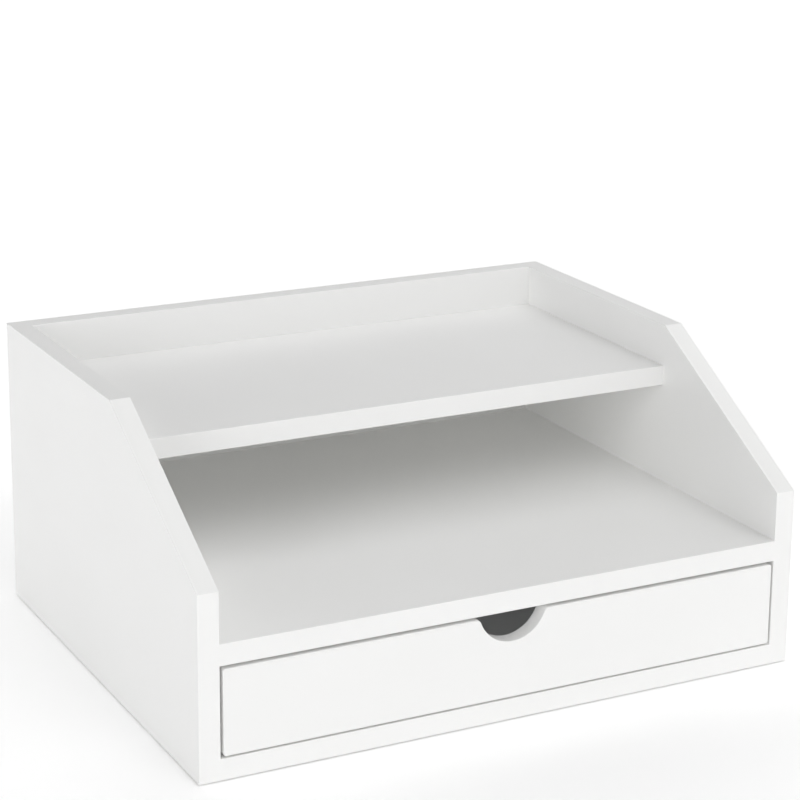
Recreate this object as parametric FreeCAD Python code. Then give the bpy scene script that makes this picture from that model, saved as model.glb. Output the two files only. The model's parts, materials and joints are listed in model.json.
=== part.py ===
import FreeCAD, Part
import math
import os

V = FreeCAD.Vector

# ---------------------------------------------------------------- driving sizes
# Desk organiser of lacquered 12 mm board: an upper tray, an open letter shelf and one drawer.
# Frame: X to the right, Y to the back, Z up, origin under the middle of the body at desk level.
WIDTH = 365.0            # outside, side panel to side panel
DEPTH = 293.0            # front edges of the sides to the outer face of the back
HEIGHT = 173.0           # desk to the top of the sides and the back
BOARD = 12.0             # thickness of every carcass board

SLOPE_RUN = 119.4        # how far the sloping edge of a side runs back from the front
FRONT_EDGE = 104.2       # height above the desk of the upright front edge of a side

PAD_T = 0.8              # felt foot pad, pressed
PAD_R = 9.0
PAD_INSET_X = 24.0       # pad centre, in from the outside of the side panel
PAD_INSET_Y = 20.0       # pad centre, in from the front and the back

MIDDLE_TOP = 75.7        # top of the panel over the drawer: the letter shelf
SHELF_TOP = 147.8        # top of the upper shelf
EASE = 0.3               # rounding of the exposed lacquered edges

# drawer
FRONT_T = 9.5            # drawer front
FRONT_PROUD = 0.5        # how far the closed front stands out from the front edges
GAP_LOW = 1.2            # air under the drawer front
GAP_SIDE = 1.6           # air beside it
GAP_TOP = 1.7            # air over it
FRONT_CORNER = 1.5       # rounding of the four corners of the front, seen from the front
FRONT_EASE = 0.5         # rounding of the edges of its face
GRIP_R = 20.9            # finger cut-out: radius of the arc
GRIP_Z = 67.4            # height of the arc's centre above the desk
GRIP_CORNER = 3.0        # rounding where the arc meets the top edge
BOX_T = 9.0              # drawer sides and back
BOX_TOP = 61.0           # top of the drawer sides and back
RUN_GAP = 0.3            # running gap between the drawer sides and the base panel
BACK_GAP = 0.6           # air left behind the closed drawer
BOTTOM_T = 3.0           # hardboard bottom
GROOVE_W = 3.1
GROOVE_D = 4.2
GROOVE_UP = 5.0          # groove's lower edge above the drawer sides' lower edge
BOX_EASE = 0.8           # rounding of the upper edges of the drawer sides and back

# joinery
DOWEL_R, DOWEL_L = 3.0, 20.0             # carcass dowels, 6 x 20
DOWEL_FACE = 8.0                         # bore depth in a board's face
DOWEL_EDGE = 13.0                        # bore depth in a board's edge
PIN_R, PIN_L = 2.5, 18.0                 # drawer dowels, 5 x 18
PIN_FACE = 6.3
PIN_EDGE = 12.7
BORE_SLACK = 0.05                        # bore radius over dowel radius
CHAMFER = 0.6                            # dowel end chamfer
SCREW_R, SCREW_L, SCREW_HEAD_R, SCREW_HEAD_H = 1.5, 13.0, 2.8, 1.3

# ---------------------------------------------------------------- derived sizes
X1 = WIDTH / 2.0                         # outer face of the right side
XI = X1 - BOARD                          # inner face of the right side
YB = (DEPTH + FRONT_PROUD) / 2.0         # outer face of the back
YF = YB - DEPTH                          # front edges
YI = YB - BOARD                          # front face of the back
YS = YF + SLOPE_RUN                      # top corner of the slope, and front edge of the upper shelf
Z0 = PAD_T                               # underside of the boards
BASE_TOP = Z0 + BOARD
MIDDLE_LOW = MIDDLE_TOP - BOARD
SHELF_LOW = SHELF_TOP - BOARD

DX1 = XI - GAP_SIDE                      # outer face of the right drawer side
DXI = DX1 - BOX_T                        # inner face of the right drawer side
FRONT_LOW = BASE_TOP + GAP_LOW
FRONT_TOP = MIDDLE_LOW - GAP_TOP
YP = YF - FRONT_PROUD                    # face of the drawer front
YD = YP + FRONT_T                        # rear face of the drawer front
YDB = YI - BACK_GAP                      # outer face of the drawer back
YDI = YDB - BOX_T                        # inner face of the drawer back
BOX_LOW = BASE_TOP + RUN_GAP
GROOVE_LOW = BOX_LOW + GROOVE_UP
GROOVE_HIGH = GROOVE_LOW + GROOVE_W
BOTTOM_LOW = GROOVE_LOW + (GROOVE_W - BOTTOM_T) / 2.0


# ---------------------------------------------------------------- helpers
def box(x0, x1, y0, y1, z0, z1):
    return Part.makeBox(x1 - x0, y1 - y0, z1 - z0, V(x0, y0, z0))


def rod(r, start, along, length):
    return Part.makeCylinder(r, length, V(*start), V(*along))


def on(value, target, tol=1e-4):
    return abs(value - target) < tol


def edge_ends(e):
    return [v.Point for v in e.Vertexes]


def save(name, shapes):
    """Writes one STEP: a single solid, or a group of separate identical solids."""
    shapes = shapes if isinstance(shapes, list) else [shapes]
    solids = [s for shape in shapes for s in shape.Solids]
    for s in solids:
        if not s.isValid():
            raise ValueError(name + " holds a solid that isn't valid")
    out = solids[0] if len(solids) == 1 else Part.makeCompound(solids)
    out.exportStep("parts/%s.step" % name)
    bb = out.BoundBox
    print("%-24s solids %2d  volume %10.1f  x %7.2f %7.2f  y %7.2f %7.2f  z %7.2f %7.2f" % (
        name, len(solids), sum(s.Volume for s in solids), bb.XMin, bb.XMax, bb.YMin, bb.YMax, bb.ZMin, bb.ZMax))
    return out


def single(shape):
    solids = shape.Solids
    if len(solids) != 1:
        raise ValueError("expected one solid, found %d" % len(solids))
    return solids[0]


class Joinery:
    """Blind bores for one kind of dowel, kept by board, and the dowels that sit in them."""

    def __init__(self, r, length, face_depth, edge_depth):
        self.r, self.length, self.face, self.edge = r, length, face_depth, edge_depth
        self.bores = {}
        self.dowels = {}

    def add(self, group, face_board, edge_board, point, into_face):
        """point lies on the joint plane; into_face points into the board bored in its face."""
        p, d = V(*point), V(*into_face)
        r = self.r + BORE_SLACK
        self.bores.setdefault(face_board, []).append(rod(r, p - d * 0.5, d, self.face + 0.5))
        self.bores.setdefault(edge_board, []).append(rod(r, p + d * 0.5, d * -1.0, self.edge + 0.5))
        spare = (self.face + self.edge - self.length) / 2.0
        start = p + d * (self.face - spare)
        pin = rod(self.r, start, d * -1.0, self.length)
        rims = [e for e in pin.Edges if e.Curve.TypeId == "Part::GeomCircle"]
        self.dowels.setdefault(group, []).append(pin.makeChamfer(CHAMFER, rims))


def bored(board, name, *kinds):
    """The board with its blind bores cut, each clipped to the board itself."""
    cutters = [b for k in kinds for b in k.bores.get(name, [])]
    return single(board.cut(cutters)) if cutters else board


os.makedirs("parts", exist_ok=True)

# ---------------------------------------------------------------- carcass: outer form
# The lacquer and the sanded edges run over the joints, so the rounding is made on the
# assembled form and the form is then parted along the board joints.
side_outline = [(YF, Z0), (YB, Z0), (YB, HEIGHT), (YS, HEIGHT), (YF, FRONT_EDGE)]


def side_block(x0):
    pts = [V(x0, y, z) for y, z in side_outline]
    return Part.Face(Part.makePolygon(pts + pts[:1])).extrude(V(BOARD, 0, 0))


raw = side_block(-X1).fuse([
    side_block(XI),
    box(-XI, XI, YI, YB, Z0, HEIGHT),
    box(-XI, XI, YF, YI, Z0, BASE_TOP),
    box(-XI, XI, YF, YI, MIDDLE_LOW, MIDDLE_TOP),
    box(-XI, XI, YS, YI, SHELF_LOW, SHELF_TOP),
]).removeSplitter()
raw = single(raw)

SLOPE = math.hypot(SLOPE_RUN, HEIGHT - FRONT_EDGE)


def on_slope(p):
    return abs((p.y - YF) * (HEIGHT - FRONT_EDGE) - (p.z - FRONT_EDGE) * SLOPE_RUN) / SLOPE < 1e-3


def exposed(e):
    a, b = edge_ends(e)[0], edge_ends(e)[-1]

    def both(test):
        return test(a) and test(b)

    # the whole outline of each side panel's outer face
    if both(lambda p: on(abs(p.x), X1)) and a.x * b.x > 0:
        return True
    # the inner edges of the sides along the front, the slope and the top
    if both(lambda p: on(abs(p.x), XI)) and a.x * b.x > 0:
        if both(lambda p: on(p.y, YF)) or both(on_slope) or both(lambda p: on(p.z, HEIGHT)):
            return True
    across = on(a.y, b.y) and on(a.z, b.z) and not on(a.x, b.x)
    if across:
        if on(a.y, YF):                      # front edges of the base and of the panel over the drawer
            return True
        if on(a.y, YS) and (on(a.z, SHELF_LOW) or on(a.z, SHELF_TOP)):
            return True
        if on(a.z, HEIGHT) or on(a.y, YB):   # top and rear edges of the back
            return True
    return False


eased = raw.makeFillet(EASE, [e for e in raw.Edges if exposed(e)])
eased = single(eased)

FAR = 1000.0
regions = {
    "left_side_panel": box(-FAR, -XI, -FAR, FAR, -FAR, FAR),
    "right_side_panel": box(XI, FAR, -FAR, FAR, -FAR, FAR),
    "back_panel": box(-XI, XI, YI, FAR, -FAR, FAR),
    "base_panel": box(-XI, XI, -FAR, YI, -FAR, BASE_TOP),
    "middle_panel": box(-XI, XI, -FAR, YI, MIDDLE_LOW, MIDDLE_TOP),
    "upper_shelf": box(-XI, XI, -FAR, YI, SHELF_LOW, SHELF_TOP),
}
boards = {name: single(eased.common(region)) for name, region in regions.items()}

# ---------------------------------------------------------------- carcass joinery
# Butt joints with blind dowels: bored in the face of one board and the edge of the other.
carcass = Joinery(DOWEL_R, DOWEL_L, DOWEL_FACE, DOWEL_EDGE)
levels = {
    "base_panel": (Z0 + BOARD / 2.0, (YF + 30.0, YF + 140.0, YF + 250.0)),
    "middle_panel": (MIDDLE_TOP - BOARD / 2.0, (YF + 30.0, YF + 140.0, YF + 250.0)),
    "upper_shelf": (SHELF_TOP - BOARD / 2.0, (YS + 30.0, YF + 250.0)),
}
for board, (z, ys) in levels.items():
    for y in ys:
        carcass.add(board + "_dowels", "left_side_panel", board, (-XI, y, z), (-1, 0, 0))
        carcass.add(board + "_dowels", "right_side_panel", board, (XI, y, z), (1, 0, 0))
    for x in (-115.0, 0.0, 115.0):
        carcass.add(board + "_dowels", "back_panel", board, (x, YI, z), (0, 1, 0))
for z in (38.0, 105.0, 160.0):
    y = YI + BOARD / 2.0
    carcass.add("back_panel_dowels", "left_side_panel", "back_panel", (-XI, y, z), (-1, 0, 0))
    carcass.add("back_panel_dowels", "right_side_panel", "back_panel", (XI, y, z), (1, 0, 0))

# ---------------------------------------------------------------- drawer front
# Outline seen from the front: a low rectangle with small rounded corners and, at mid-width,
# an arc of finger cut-out that flows into the top edge through two small roundings.
cz = GRIP_Z
rc = GRIP_CORNER
fillet_z = FRONT_TOP - rc
reach = GRIP_R + rc
fx = math.sqrt(reach ** 2 - (cz - fillet_z) ** 2)          # centre of a rounding, from mid-width
tx = fx * GRIP_R / reach                                   # where rounding and arc meet
tz = cz - (cz - fillet_z) * GRIP_R / reach
low_z = cz - GRIP_R


def mid_of(cx, cz_, r, p, q):
    """The point half-way along the short arc from p to q about (cx, cz_)."""
    mx, mz = (p[0] + q[0]) / 2.0 - cx, (p[1] + q[1]) / 2.0 - cz_
    k = r / math.hypot(mx, mz)
    return (cx + mx * k, cz_ + mz * k)


def pt(p):
    return V(p[0], YP, p[1])


def line(p, q):
    return Part.LineSegment(pt(p), pt(q)).toShape()


def arc(p, m, q):
    return Part.Arc(pt(p), pt(m), pt(q)).toShape()


c = FRONT_CORNER
L, R, B, T = -DX1, DX1, FRONT_LOW, FRONT_TOP


def corner(cx, cz_, p, q):
    return arc(p, mid_of(cx, cz_, c, p, q), q)


outline = [
    line((L + c, B), (R - c, B)),
    corner(R - c, B + c, (R - c, B), (R, B + c)),
    line((R, B + c), (R, T - c)),
    corner(R - c, T - c, (R, T - c), (R - c, T)),
    line((R - c, T), (fx, T)),
    arc((fx, T), mid_of(fx, fillet_z, rc, (fx, T), (tx, tz)), (tx, tz)),
    arc((tx, tz), (0.0, low_z), (-tx, tz)),
    arc((-tx, tz), mid_of(-fx, fillet_z, rc, (-tx, tz), (-fx, T)), (-fx, T)),
    line((-fx, T), (L + c, T)),
    corner(L + c, T - c, (L + c, T), (L, T - c)),
    line((L, T - c), (L, B + c)),
    corner(L + c, B + c, (L, B + c), (L + c, B)),
]
front = Part.Face(Part.Wire(outline)).extrude(V(0, FRONT_T, 0))
front = single(front)
face_rim = [e for e in front.Edges if all(on(p.y, YP) for p in edge_ends(e)) and on(e.CenterOfMass.y, YP)]
front = single(front.makeFillet(FRONT_EASE, face_rim))
rear_rim = [e for e in front.Edges if all(on(p.y, YD) for p in edge_ends(e)) and on(e.CenterOfMass.y, YD)]
front = single(front.makeFillet(0.4, rear_rim))
front = single(front.cut(box(-DXI - GROOVE_D, DXI + GROOVE_D, YD - GROOVE_D, YD + 1.0, GROOVE_LOW, GROOVE_HIGH)))

# ---------------------------------------------------------------- drawer sides and back
# Upper edges softened over the assembled box, then parted at the butt joints.
ring = box(-DX1, DX1, YD, YDB, BOX_LOW, BOX_TOP).cut(box(-DXI, DXI, YD - 1.0, YDI, BOX_LOW - 1.0, BOX_TOP + 1.0))
ring = single(ring)


def box_edge(e):
    a, b = edge_ends(e)[0], edge_ends(e)[-1]
    if on(a.z, BOX_TOP) and on(b.z, BOX_TOP):
        return not (on(a.y, YD) and on(b.y, YD))
    upright = on(a.x, b.x) and on(a.y, b.y)
    if upright and on(abs(a.x), DX1) and on(a.y, YDB):
        return True
    lower = on(a.z, BOX_LOW) and on(b.z, BOX_LOW)
    return lower and (on(abs(a.x), DX1) and on(abs(b.x), DX1) and a.x * b.x > 0 or on(a.y, YDB) and on(b.y, YDB))


ring = single(ring.makeFillet(BOX_EASE, [e for e in ring.Edges if box_edge(e)]))
drawer_left = single(ring.common(box(-FAR, -DXI, -FAR, FAR, -FAR, FAR)))
drawer_right = single(ring.common(box(DXI, FAR, -FAR, FAR, -FAR, FAR)))
drawer_back = single(ring.common(box(-DXI, DXI, -FAR, FAR, GROOVE_HIGH, FAR)))

groove_back = YDB - 1.5                  # the side grooves stop short of the rear corner
drawer_left = single(drawer_left.cut(box(-DXI - GROOVE_D, -DXI + 1.0, YD - 1.0, groove_back, GROOVE_LOW, GROOVE_HIGH)))
drawer_right = single(drawer_right.cut(box(DXI - 1.0, DXI + GROOVE_D, YD - 1.0, groove_back, GROOVE_LOW, GROOVE_HIGH)))

# hardboard bottom: let into the front and the sides, and carried on under the back
bottom = box(-DXI - GROOVE_D + 0.2, DXI + GROOVE_D - 0.2, YD - GROOVE_D + 0.2, groove_back - 0.2, BOTTOM_LOW, BOTTOM_LOW + BOTTOM_T)

# ---------------------------------------------------------------- drawer joinery
pins = Joinery(PIN_R, PIN_L, PIN_FACE, PIN_EDGE)
for x, side in ((-DX1 + BOX_T / 2.0, "drawer_left_side"), (DX1 - BOX_T / 2.0, "drawer_right_side")):
    for z in (29.0, 49.0):
        pins.add("drawer_front_dowels", "drawer_front", side, (x, YD, z), (0, -1, 0))
for z in (31.0, 51.0):
    y = YDB - BOX_T / 2.0
    pins.add("drawer_back_dowels", "drawer_left_side", "drawer_back", (-DXI, y, z), (-1, 0, 0))
    pins.add("drawer_back_dowels", "drawer_right_side", "drawer_back", (DXI, y, z), (1, 0, 0))

# Countersunk screws up through the bottom into the lower edge of the back.
screws, screw_holes = [], []
ys_ = YDB - BOX_T / 2.0
HEAD_LOW = BOTTOM_LOW + 0.05
for x in (-110.0, 0.0, 110.0):
    head = Part.makeCone(SCREW_HEAD_R, SCREW_R, SCREW_HEAD_H, V(x, ys_, HEAD_LOW), V(0, 0, 1))
    shank = rod(SCREW_R, (x, ys_, HEAD_LOW + SCREW_HEAD_H - 0.01), (0, 0, 1), SCREW_L - SCREW_HEAD_H - 2.0)
    tip = Part.makeCone(SCREW_R, 0.3, 2.0, V(x, ys_, HEAD_LOW + SCREW_L - 2.01), V(0, 0, 1))
    screw = head.fuse([shank, tip])
    arm, wide, deep = 1.5, 0.5, 0.8      # cross recess
    recess = box(x - arm, x + arm, ys_ - wide / 2, ys_ + wide / 2, HEAD_LOW - 0.1, HEAD_LOW + deep).fuse(
        box(x - wide / 2, x + wide / 2, ys_ - arm, ys_ + arm, HEAD_LOW - 0.1, HEAD_LOW + deep))
    screws.append(single(screw.cut(recess).removeSplitter()))
    s = BORE_SLACK
    hole = Part.makeCone(SCREW_HEAD_R + s + 0.05, SCREW_R + s, SCREW_HEAD_H + 0.05, V(x, ys_, BOTTOM_LOW), V(0, 0, 1))
    hole = hole.fuse(rod(SCREW_R + s, (x, ys_, BOTTOM_LOW), (0, 0, 1), SCREW_L + 0.5))
    screw_holes.append(hole)
bottom = single(bottom.cut(screw_holes))
drawer_back = single(drawer_back.cut(screw_holes))

# ---------------------------------------------------------------- foot pads
pads = {}
for fore, y in (("front", YF + PAD_INSET_Y), ("rear", YB - PAD_INSET_Y)):
    for side, x in (("left", -X1 + PAD_INSET_X), ("right", X1 - PAD_INSET_X)):
        pads["%s_%s_foot_pad" % (fore, side)] = rod(PAD_R, (x, y, 0.0), (0, 0, 1), PAD_T)

# ---------------------------------------------------------------- output
for name, board in boards.items():
    save(name, bored(board, name, carcass))
for group, dowels in carcass.dowels.items():
    save(group, dowels)
save("drawer_front", bored(front, "drawer_front", pins))
save("drawer_left_side", bored(drawer_left, "drawer_left_side", pins))
save("drawer_right_side", bored(drawer_right, "drawer_right_side", pins))
save("drawer_back", bored(drawer_back, "drawer_back", pins))
save("drawer_bottom", bottom)
for group, dowels in pins.dowels.items():
    save(group, dowels)
save("drawer_bottom_screws", screws)
for name, pad in pads.items():
    save(name, pad)
print("finger cut-out: width %.1f, depth %.1f" % (2 * fx, FRONT_TOP - low_z))
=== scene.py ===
import bpy
import json
import math
from mathutils import Matrix, Vector

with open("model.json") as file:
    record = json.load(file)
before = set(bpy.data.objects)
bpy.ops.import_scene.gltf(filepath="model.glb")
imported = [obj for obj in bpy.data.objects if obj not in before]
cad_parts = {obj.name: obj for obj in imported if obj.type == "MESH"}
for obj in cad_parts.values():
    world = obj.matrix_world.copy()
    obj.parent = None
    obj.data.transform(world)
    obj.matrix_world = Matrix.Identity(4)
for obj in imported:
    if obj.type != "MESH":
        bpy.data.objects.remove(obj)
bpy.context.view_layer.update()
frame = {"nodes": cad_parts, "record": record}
nodes = frame["nodes"]
scene = bpy.context.scene


# ------------------------------------------------------------------ node helpers
class Tree:
    """A short way to write a material's nodes."""

    def __init__(self, name):
        self.mat = bpy.data.materials.new(name)
        self.mat.use_nodes = True
        self.nt = self.mat.node_tree
        self.nt.nodes.clear()
        self.out = self.nt.nodes.new("ShaderNodeOutputMaterial")

    def node(self, kind, **settings):
        n = self.nt.nodes.new(kind)
        for key, value in settings.items():
            setattr(n, key, value)
        return n

    def link(self, a, b):
        self.nt.links.new(a, b)

    def put(self, socket, value):
        if isinstance(value, bpy.types.NodeSocket):
            self.link(value, socket)
        else:
            socket.default_value = value

    def object_coords(self):
        return self.node("ShaderNodeTexCoord").outputs["Object"]

    def object_normal(self):
        return self.node("ShaderNodeTexCoord").outputs["Normal"]

    def mapped(self, vector, scale=(1, 1, 1), location=(0, 0, 0)):
        m = self.node("ShaderNodeMapping")
        self.link(vector, m.inputs["Vector"])
        m.inputs["Scale"].default_value = scale
        m.inputs["Location"].default_value = location
        return m.outputs["Vector"]

    def noise(self, vector, scale, detail=2.0, rough=0.5, distortion=0.0):
        n = self.node("ShaderNodeTexNoise")
        self.link(vector, n.inputs["Vector"])
        n.inputs["Scale"].default_value = scale
        n.inputs["Detail"].default_value = detail
        n.inputs["Roughness"].default_value = rough
        n.inputs["Distortion"].default_value = distortion
        return n.outputs["Fac"]

    def ramp(self, fac, stops):
        r = self.node("ShaderNodeValToRGB")
        self.link(fac, r.inputs["Fac"])
        els = r.color_ramp.elements
        while len(els) < len(stops):
            els.new(0.5)
        for el, (pos, col) in zip(els, stops):
            el.position = pos
            el.color = (*col, 1.0) if len(col) == 3 else col
        return r.outputs["Color"]

    def math(self, op, a, b=0.0, clamp=False):
        m = self.node("ShaderNodeMath", operation=op, use_clamp=clamp)
        self.put(m.inputs[0], a)
        self.put(m.inputs[1], b)
        return m.outputs[0]

    def spread(self, fac, low, high, a=0.0, b=1.0):
        m = self.node("ShaderNodeMapRange")
        self.link(fac, m.inputs["Value"])
        m.inputs["From Min"].default_value = a
        m.inputs["From Max"].default_value = b
        m.inputs["To Min"].default_value = low
        m.inputs["To Max"].default_value = high
        return m.outputs["Result"]

    def mix(self, fac, a, b):
        m = self.node("ShaderNodeMix", data_type="RGBA")
        self.put(m.inputs["Factor"], fac)
        self.put(m.inputs["A"], (*a, 1.0) if isinstance(a, tuple) else a)
        self.put(m.inputs["B"], (*b, 1.0) if isinstance(b, tuple) else b)
        return m.outputs["Result"]

    def axis(self, vector, which):
        s = self.node("ShaderNodeSeparateXYZ")
        self.link(vector, s.inputs[0])
        return s.outputs[which]

    def bump(self, height, strength, distance, normal=None):
        b = self.node("ShaderNodeBump")
        self.link(height, b.inputs["Height"])
        b.inputs["Strength"].default_value = strength
        b.inputs["Distance"].default_value = distance
        if normal is not None:
            self.link(normal, b.inputs["Normal"])
        return b.outputs["Normal"]

    def surface(self, colour, roughness, normal=None, **numbers):
        p = self.shader = self.node("ShaderNodeBsdfPrincipled")
        self.put(p.inputs["Base Color"], (*colour, 1.0) if isinstance(colour, tuple) else colour)
        self.put(p.inputs["Roughness"], roughness)
        for key, value in numbers.items():
            p.inputs[key.replace("_", " ")].default_value = value
        if normal is not None:
            self.link(normal, p.inputs["Normal"])
        self.link(p.outputs["BSDF"], self.out.inputs["Surface"])
        return self.mat


# ------------------------------------------------------------------ materials
WHITE = (0.886, 0.886, 0.879)
WHITE_LOW = (0.874, 0.874, 0.866)


def lacquer(name, across, seed=0.0):
    """Satin white lacquer sprayed over fibreboard: a faint orange peel, a finer grain, a slow unevenness of tone and sheen.
    across is the axis through the board's thickness: its sawn edges take the lacquer a little drier and coarser than its faces."""
    t = Tree(name)
    at = t.mapped(t.object_coords(), location=(seed, seed * 0.37, seed * 0.71))
    slow = t.noise(at, 7.0, 2.0, 0.5)
    peel = t.noise(at, 520.0, 1.5, 0.45)
    grain = t.noise(at, 2600.0, 2.0, 0.6)
    smear = t.noise(t.mapped(at, scale=(1.0, 0.35, 1.0)), 42.0, 3.0, 0.55)
    fibre = t.noise(at, 1150.0, 3.0, 0.65)
    facing = t.math("ABSOLUTE", t.axis(t.object_normal(), across))
    edge = t.spread(facing, 1.0, 0.0, 0.55, 0.85)
    colour = t.mix(t.spread(slow, 0.0, 1.0, 0.35, 0.65), WHITE, WHITE_LOW)
    sheen = t.math("ADD", t.spread(smear, 0.36, 0.46, 0.3, 0.7), t.spread(grain, -0.02, 0.02, 0.3, 0.7))
    sheen = t.math("ADD", sheen, t.math("MULTIPLY", edge, 0.05))
    height = t.math("ADD", t.spread(peel, 0.0, 1.0), t.spread(grain, 0.0, 0.25))
    height = t.math("ADD", height, t.math("MULTIPLY", fibre, t.math("MULTIPLY", edge, 0.8)))
    normal = t.bump(height, 0.35, 0.00004)
    return t.surface(colour, sheen, normal, Specular_IOR_Level=0.5)


def hardboard(name):
    """Thin hardboard: a smooth white face above, pressed brown fibre below and at the edges."""
    t = Tree(name)
    at = t.object_coords()
    up = t.axis(t.object_normal(), "Z")
    face = t.math("GREATER_THAN", up, 0.5)
    mesh_a = t.noise(t.mapped(at, scale=(1.0, 2.4, 1.0)), 900.0, 3.0, 0.6)
    mesh_b = t.noise(at, 120.0, 4.0, 0.6)
    brown = t.ramp(t.math("ADD", t.spread(mesh_a, 0.0, 0.5), t.spread(mesh_b, 0.0, 0.5)),
                   [(0.30, (0.135, 0.080, 0.042)), (0.52, (0.215, 0.134, 0.074)), (0.75, (0.300, 0.200, 0.120))])
    slow = t.noise(at, 9.0, 2.0)
    white = t.mix(t.spread(slow, 0.0, 1.0, 0.35, 0.65), (0.800, 0.800, 0.790), (0.785, 0.785, 0.772))
    colour = t.mix(face, brown, white)
    rough = t.spread(face, 0.62, 0.42)
    bump_height = t.math("MULTIPLY", mesh_a, t.spread(face, 1.0, 0.08))
    normal = t.bump(bump_height, 0.5, 0.00015)
    return t.surface(colour, rough, normal)


def beech(name):
    t = Tree(name)
    at = t.object_coords()
    rings = t.noise(t.mapped(at, scale=(0.15, 1.0, 1.0)), 900.0, 3.0, 0.55, 0.4)
    flecks = t.noise(t.mapped(at, scale=(0.3, 1.0, 1.0)), 3200.0, 2.0, 0.6)
    colour = t.ramp(rings, [(0.3, (0.52, 0.33, 0.19)), (0.5, (0.66, 0.46, 0.29)), (0.7, (0.74, 0.56, 0.38))])
    normal = t.bump(flecks, 0.4, 0.0001)
    return t.surface(colour, t.spread(rings, 0.48, 0.62), normal)


def felt(name):
    t = Tree(name)
    at = t.object_coords()
    fibre = t.noise(at, 2200.0, 4.0, 0.7, 1.5)
    clump = t.noise(at, 300.0, 2.0, 0.5)
    colour = t.ramp(t.math("ADD", t.spread(fibre, 0.0, 0.6), t.spread(clump, 0.0, 0.4)),
                    [(0.3, (0.50, 0.50, 0.49)), (0.55, (0.68, 0.68, 0.665)), (0.8, (0.80, 0.80, 0.79))])
    normal = t.bump(fibre, 0.8, 0.0004)
    return t.surface(colour, 0.95, normal, Specular_IOR_Level=0.2, Sheen_Weight=0.35, Sheen_Roughness=0.5)


def zinc(name):
    t = Tree(name)
    at = t.object_coords()
    spangle = t.noise(at, 1400.0, 3.0, 0.6)
    colour = t.ramp(spangle, [(0.3, (0.46, 0.46, 0.45)), (0.7, (0.66, 0.66, 0.64))])
    return t.surface(colour, t.spread(spangle, 0.25, 0.42), t.bump(spangle, 0.2, 0.00005), Metallic=1.0)


makers = {
    "white_faced_hardboard": hardboard,
    "beech_dowel": beech,
    "foot_felt": felt,
    "zinc_screw": zinc,
}
# the axis through each lacquered board's thickness
ACROSS = {
    "left_side_panel": "X", "right_side_panel": "X", "back_panel": "Y",
    "base_panel": "Z", "middle_panel": "Z", "upper_shelf": "Z",
    "drawer_front": "Y", "drawer_back": "Y", "drawer_left_side": "X", "drawer_right_side": "X",
}
slot_of = {s["node"]: s["material_slot"] for s in frame["record"]["subparts"]}
made = {}
for name, o in sorted(nodes.items()):
    slot = slot_of[name]
    if slot == "white_lacquered_board":
        moving = name.startswith("drawer_")
        key = "white_lacquer_%s%s" % (ACROSS[name].lower(), "_drawer" if moving else "")
        if key not in made:
            made[key] = lacquer(key, ACROSS[name], seed=1.7 if moving else 0.0)
    else:
        key = slot
        if key not in made:
            made[key] = makers[slot](slot)
    if not o.material_slots:
        o.data.materials.append(made[key])
    for s in o.material_slots:
        s.material = made[key]

# ------------------------------------------------------------------ floor
GLOW_NEAR, GLOW_FAR, GLOW_SHADOW_FILL = 0.12, 0.33, 0.165
half = 30.0
me = bpy.data.meshes.new("floor")
me.from_pydata([(-half, -half, 0), (half, -half, 0), (half, half, 0), (-half, half, 0)], [], [(0, 1, 2, 3)])
floor = bpy.data.objects.new("floor", me)
scene.collection.objects.link(floor)
t = Tree("pale_floor_painted_glow")
tone = t.noise(t.object_coords(), 3.0, 2.0)
colour = t.mix(t.spread(tone, 0.0, 1.0, 0.3, 0.7), (0.90, 0.90, 0.90), (0.895, 0.895, 0.895))
# painted glow: the floor emits light though it is no lamp, a little more far away than near, and painted light
# fills the shadow close to the sides and the back, where the object shades the lamps; it emits nothing under it
away = t.node("ShaderNodeVectorMath", operation="LENGTH")
t.link(t.object_coords(), away.inputs[0])
glow = t.spread(away.outputs["Value"], GLOW_NEAR, GLOW_FAR, 0.20, 0.38)
beside = t.math("SUBTRACT", t.math("ABSOLUTE", t.axis(t.object_coords(), "X")), 0.1817)
before = t.math("SUBTRACT", t.math("ABSOLUTE", t.axis(t.object_coords(), "Y")), 0.1454)
aside = t.math("MAXIMUM", beside, before)
clear = t.spread(aside, 0.0, 1.0, -0.0015, 0.0018)
# painted light filling the object's shadow on the floor beside and behind it, none in front
shadow_fill_glow = t.spread(aside, GLOW_SHADOW_FILL, 0.0, 0.01, 0.16)
shadow_fill_glow = t.math("MULTIPLY", shadow_fill_glow, t.spread(t.axis(t.object_coords(), "Y"), 0.0, 1.0, -0.22, -0.08))
# the emission below is painted glow, not a lamp
t.surface(colour, 0.9, Specular_IOR_Level=0.0, Emission_Color=(1, 1, 1, 1))
t.link(t.math("MULTIPLY", t.math("ADD", glow, shadow_fill_glow), clear), t.shader.inputs["Emission Strength"])
floor.data.materials.append(t.mat)

# ------------------------------------------------------------------ light
HORIZON, OVERHEAD = 0.50, 0.15
BAY_FILL = 0.005
# azimuth, elevation, strength, spread in degrees
LIGHTS = [
    (300, 8, 1.01, 42.0),
    (60, 8, 0.250, 42.0),
    (130, 25, 0.190, 42.0),
    (0, 50, 0.573, 42.0),
    (30, 50, 0.293, 42.0),
    (90, 50, 0.316, 42.0),
    (130, 50, 0.148, 42.0),
    (0, 90, 0.530, 50.0),
    (30, 15, 0.065, 20.0),
]
scene.view_settings.view_transform = "Standard"
scene.view_settings.look = "None"
scene.view_settings.exposure = 0.0
scene.view_settings.gamma = 1.0
# white surfaces pass light on many times: the bay and the cut-out get theirs this way
scene.cycles.max_bounces = 16
scene.cycles.diffuse_bounces = 16

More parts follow.
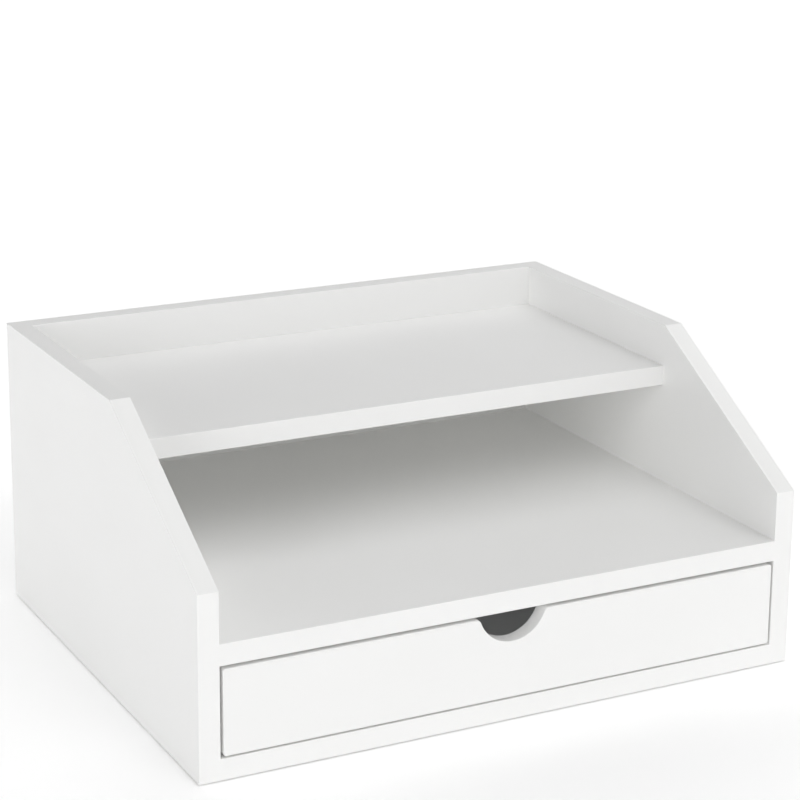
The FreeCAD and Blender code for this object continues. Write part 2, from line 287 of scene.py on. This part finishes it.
# the surround: white along the horizon so that it runs into the floor, paler above, dimmer overhead
world = bpy.data.worlds.new("studio")
scene.world = world
world.use_nodes = True
wt = world.node_tree
bg = wt.nodes["Background"]
coords = wt.nodes.new("ShaderNodeTexCoord")
split = wt.nodes.new("ShaderNodeSeparateXYZ")
fade = wt.nodes.new("ShaderNodeMapRange")
fade.interpolation_type = "SMOOTHSTEP"
fade.inputs["From Min"].default_value = 0.15
fade.inputs["From Max"].default_value = 0.6
fade.inputs["To Min"].default_value = HORIZON
fade.inputs["To Max"].default_value = OVERHEAD
wt.links.new(coords.outputs["Generated"], split.inputs[0])
wt.links.new(split.outputs["Z"], fade.inputs["Value"])
rim = wt.nodes.new("ShaderNodeMapRange")
rim.interpolation_type = "SMOOTHSTEP"
rim.inputs["From Min"].default_value = 0.01
rim.inputs["From Max"].default_value = 0.14
rim.inputs["To Min"].default_value = 1.0 - HORIZON
rim.inputs["To Max"].default_value = 0.0
wt.links.new(split.outputs["Z"], rim.inputs["Value"])
both = wt.nodes.new("ShaderNodeMath")
both.operation = "ADD"
wt.links.new(fade.outputs["Result"], both.inputs[0])
wt.links.new(rim.outputs["Result"], both.inputs[1])
wt.links.new(both.outputs[0], bg.inputs["Strength"])
bg.inputs["Color"].default_value = (1, 1, 1, 1)


def panel(name, azimuth, elevation, strength, spread=42.0):
    """A far, wide, soft light. Azimuth 0 stands in front of the drawer, 90 on the right side."""
    a, e = math.radians(azimuth), math.radians(elevation)
    d = Vector((math.sin(a) * math.cos(e), -math.cos(a) * math.cos(e), math.sin(e)))
    data = bpy.data.lights.new(name, "SUN")
    data.energy = strength
    data.angle = math.radians(spread)
    o = bpy.data.objects.new(name, data)
    scene.collection.objects.link(o)
    o.location = d * 2.0
    o.rotation_mode = "QUATERNION"
    o.rotation_quaternion = (-d).to_track_quat("-Z", "Y")
    return o


for light in LIGHTS:
    panel("light_%03d_%02d" % light[:2], *light)

# a faint fill under the panel over the drawer, so that the cut-out shows dark grey and not black
fill = bpy.data.lights.new("bay_fill", "AREA")
fill.shape = "RECTANGLE"
fill.size, fill.size_y = 0.26, 0.09
fill.color = (0.94, 0.96, 1.0)
fill.energy = BAY_FILL
o = bpy.data.objects.new("bay_fill", fill)
scene.collection.objects.link(o)
o.location = (0.0, -0.065, 0.0632)

# ------------------------------------------------------------------ camera
cam_data = bpy.data.cameras.new("camera")
cam = bpy.data.objects.new("camera", cam_data)
scene.collection.objects.link(cam)
cam_data.sensor_fit = "HORIZONTAL"
cam_data.sensor_width = 36.0
cam_data.lens = 2394.75 * 36.0 / 800.0
cam_data.shift_x = 0.0
cam_data.shift_y = -0.12
cam_data.clip_start, cam_data.clip_end = 0.05, 100.0
cam_data.dof.use_dof = False
right = Vector((0.889493, -0.456867, 0.008659)).normalized()
ahead = Vector((0.443758, 0.859139, -0.254871)).normalized()
up = right.cross(ahead).normalized()
right = ahead.cross(up).normalized()
m = Matrix.Identity(4)
for i in range(3):
    m[i][0], m[i][1], m[i][2] = right[i], up[i], -ahead[i]
m.translation = Vector((-0.60617, -1.18446, 0.54978))
cam.matrix_world = m
scene.camera = cam
